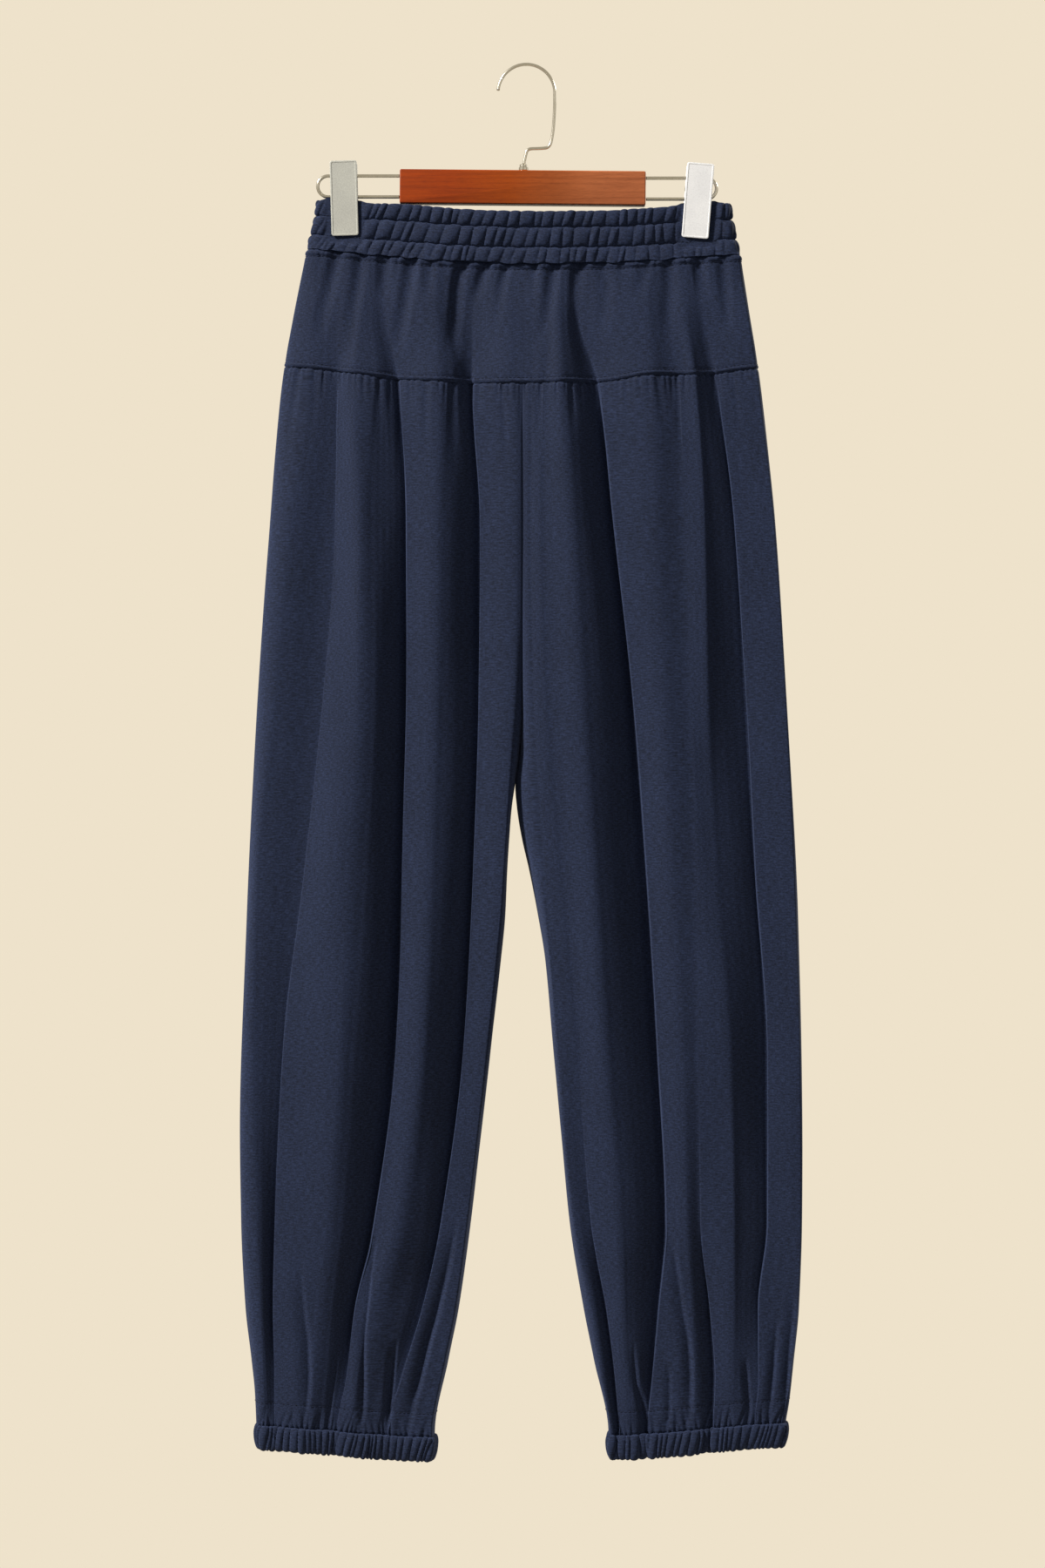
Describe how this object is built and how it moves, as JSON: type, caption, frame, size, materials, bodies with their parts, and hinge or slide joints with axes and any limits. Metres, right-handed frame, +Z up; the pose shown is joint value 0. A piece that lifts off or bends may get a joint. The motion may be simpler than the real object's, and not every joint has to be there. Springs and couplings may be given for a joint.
{
  "type": "gathered jogger trousers on a clip hanger",
  "caption": "Navy knit trousers with a gathered elastic waistband, hip yoke, full gathered legs and elastic cuffs, hung by two clips from a wooden bar hanger.",
  "frame": {"origin": "inside the top of the hook, where it hangs on a rod or nail", "axes": "+X to the viewer's right across the garment's front, +Y away from the viewer through the garment, +Z up"},
  "size_m": [0.4642, 0.0582, 1.1534],
  "materials": {
    "knit_cloth": "matt heavy knit",
    "varnished_wood": "red-brown varnish",
    "plated_wire": "bright plated",
    "satin_plate": "satin plated"
  },
  "bodies": {
    "root": {"waistband": "knit_cloth", "front_yoke": "knit_cloth", "back_yoke": "knit_cloth", "front_leg_left": "knit_cloth", "front_leg_right": "knit_cloth", "back_leg_left": "knit_cloth", "back_leg_right": "knit_cloth", "cuff_left": "knit_cloth", "cuff_right": "knit_cloth", "hanger_bar": "varnished_wood", "hook": "plated_wire", "ferrule": "plated_wire", "rail_left": "plated_wire", "rail_right": "plated_wire", "clip_left_front": "satin_plate", "clip_left_back": "satin_plate", "clip_right_front": "satin_plate", "clip_right_back": "satin_plate", "clip_left_barrel": "plated_wire", "clip_right_barrel": "plated_wire"}
  },
  "joints": []
}
